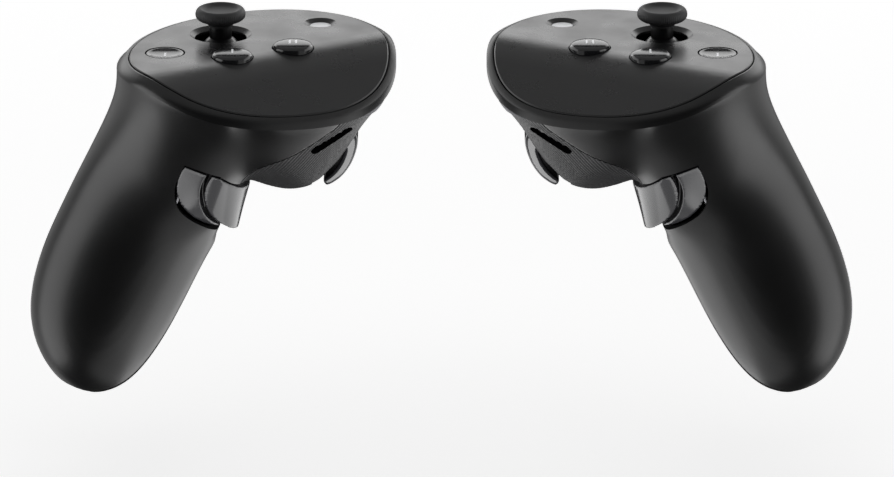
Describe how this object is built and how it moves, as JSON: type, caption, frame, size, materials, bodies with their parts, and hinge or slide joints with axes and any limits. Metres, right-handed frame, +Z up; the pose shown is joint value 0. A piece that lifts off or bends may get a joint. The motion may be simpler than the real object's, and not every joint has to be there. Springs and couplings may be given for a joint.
{
  "type": "vr hand controllers",
  "caption": "Mirrored pair of handheld motion controllers: leaning grip, bent round top plate with thumbstick and keys, ribbed front cover, trigger and side grip button.",
  "frame": {"origin": "centre of the pair's box, on the plane midway between the two controllers", "axes": "+X from the left controller to the right one, +Y away from the viewer, +Z up along the thumbsticks"},
  "size_m": [0.2364, 0.0774, 0.1126],
  "materials": {
    "satin_black": "satin",
    "gloss_black": "gloss",
    "gloss_shell": "gloss",
    "ribbed_black": "satin, fine diagonal ribs",
    "window_black": "gloss",
    "light_white": "frosted",
    "stick_rubber": "matte, knurled edge",
    "button_black": "gloss",
    "frame_grey": "moulded",
    "board_green": "solder mask",
    "switch_metal": "plain",
    "screw_steel": "zinc",
    "battery_skin": "printed sleeve",
    "contact_steel": "nickel",
    "motor_steel": "plain"
  },
  "bodies": {
    "left_controller": {"left_bezel": "satin_black", "left_faceplate": "gloss_black", "left_shell_inner": "satin_black", "left_shell_outer": "gloss_shell", "left_front_cover": "ribbed_black", "left_sensor_window": "window_black", "left_light_lens": "light_white", "left_stick_module": "frame_grey", "left_main_board": "board_green", "left_tact_switches": "switch_metal", "left_inner_frame": "frame_grey", "left_board_screws": "screw_steel", "left_trigger_pin": "screw_steel", "left_grip_pin": "screw_steel", "left_battery": "battery_skin", "left_battery_contacts": "contact_steel", "left_battery_tray": "frame_grey", "left_haptic_motor": "motor_steel"},
    "left_stick_gimbal": {"left_stick_gimbal": "frame_grey"},
    "left_thumbstick": {"left_stick_stem": "gloss_black", "left_stick_cap": "stick_rubber"},
    "left_lower_button": {"left_lower_button": "button_black"},
    "left_upper_button": {"left_upper_button": "button_black"},
    "left_menu_button": {"left_menu_button": "button_black"},
    "left_trigger": {"left_trigger": "button_black"},
    "left_grip_button": {"left_grip_button": "button_black"},
    "right_controller": {"right_bezel": "satin_black", "right_faceplate": "gloss_black", "right_shell_inner": "satin_black", "right_shell_outer": "gloss_shell", "right_front_cover": "ribbed_black", "right_sensor_window": "window_black", "right_light_lens": "light_white", "right_stick_module": "frame_grey", "right_main_board": "board_green", "right_tact_switches": "switch_metal", "right_inner_frame": "frame_grey", "right_board_screws": "screw_steel", "right_trigger_pin": "screw_steel", "right_grip_pin": "screw_steel", "right_battery": "battery_skin", "right_battery_contacts": "contact_steel", "right_battery_tray": "frame_grey", "right_haptic_motor": "motor_steel"},
    "right_stick_gimbal": {"right_stick_gimbal": "frame_grey"},
    "right_thumbstick": {"right_stick_stem": "gloss_black", "right_stick_cap": "stick_rubber"},
    "right_lower_button": {"right_lower_button": "button_black"},
    "right_upper_button": {"right_upper_button": "button_black"},
    "right_menu_button": {"right_menu_button": "button_black"},
    "right_trigger": {"right_trigger": "button_black"},
    "right_grip_button": {"right_grip_button": "button_black"}
  },
  "joints": [
    {"name": "right_controller_lifts_away", "type": "slide", "parent": "left_controller", "child": "right_controller", "axis": [0, 0, 1], "range_m": [0, 0.25]},
    {"name": "left_stick_fore_aft", "type": "hinge", "parent": "left_controller", "child": "left_stick_gimbal", "pos_m": [-0.0628, 0.01192, 0.04199], "axis": [0, 1, 0], "range_deg": [-16, 16], "stiffness_Nm_per_rad": 0.03},
    {"name": "left_stick_side_to_side", "type": "hinge", "parent": "left_stick_gimbal", "child": "left_thumbstick", "pos_m": [-0.0628, 0.01192, 0.04199], "axis": [1, 0, 0], "range_deg": [-16, 16], "stiffness_Nm_per_rad": 0.03},
    {"name": "left_lower_button_press", "type": "slide", "parent": "left_controller", "child": "left_lower_button", "axis": [0, 0, -1], "range_m": [0, 0.0008], "stiffness_N_per_m": 600},
    {"name": "left_upper_button_press", "type": "slide", "parent": "left_controller", "child": "left_upper_button", "axis": [0, 0, -1], "range_m": [0, 0.0008], "stiffness_N_per_m": 600},
    {"name": "left_menu_button_press", "type": "slide", "parent": "left_controller", "child": "left_menu_button", "axis": [0, 0, -1], "range_m": [0, 0.0005], "stiffness_N_per_m": 800},
    {"name": "left_trigger_pull", "type": "hinge", "parent": "left_controller", "child": "left_trigger", "pos_m": [-0.0288, 0.00232, 0.02549], "axis": [0, 1, 0], "range_deg": [0, 12], "stiffness_Nm_per_rad": 0.25},
    {"name": "left_grip_squeeze", "type": "hinge", "parent": "left_controller", "child": "left_grip_button", "pos_m": [-0.07401, -0.00988, 0.00948], "axis": [0.3907, 0, 0.9205], "range_deg": [0, 5], "stiffness_Nm_per_rad": 0.3},
    {"name": "right_stick_fore_aft", "type": "hinge", "parent": "right_controller", "child": "right_stick_gimbal", "pos_m": [0.0628, 0.01192, 0.04199], "axis": [0, -1, 0], "range_deg": [-16, 16], "stiffness_Nm_per_rad": 0.03},
    {"name": "right_stick_side_to_side", "type": "hinge", "parent": "right_stick_gimbal", "child": "right_thumbstick", "pos_m": [0.0628, 0.01192, 0.04199], "axis": [1, 0, 0], "range_deg": [-16, 16], "stiffness_Nm_per_rad": 0.03},
    {"name": "right_lower_button_press", "type": "slide", "parent": "right_controller", "child": "right_lower_button", "axis": [0, 0, -1], "range_m": [0, 0.0008], "stiffness_N_per_m": 600},
    {"name": "right_upper_button_press", "type": "slide", "parent": "right_controller", "child": "right_upper_button", "axis": [0, 0, -1], "range_m": [0, 0.0008], "stiffness_N_per_m": 600},
    {"name": "right_menu_button_press", "type": "slide", "parent": "right_controller", "child": "right_menu_button", "axis": [0, 0, -1], "range_m": [0, 0.0005], "stiffness_N_per_m": 800},
    {"name": "right_trigger_pull", "type": "hinge", "parent": "right_controller", "child": "right_trigger", "pos_m": [0.0288, 0.00232, 0.02549], "axis": [0, -1, 0], "range_deg": [0, 12], "stiffness_Nm_per_rad": 0.25},
    {"name": "right_grip_squeeze", "type": "hinge", "parent": "right_controller", "child": "right_grip_button", "pos_m": [0.07401, -0.00988, 0.00948], "axis": [0.3907, 0, -0.9205], "range_deg": [0, 5], "stiffness_Nm_per_rad": 0.3}
  ]
}
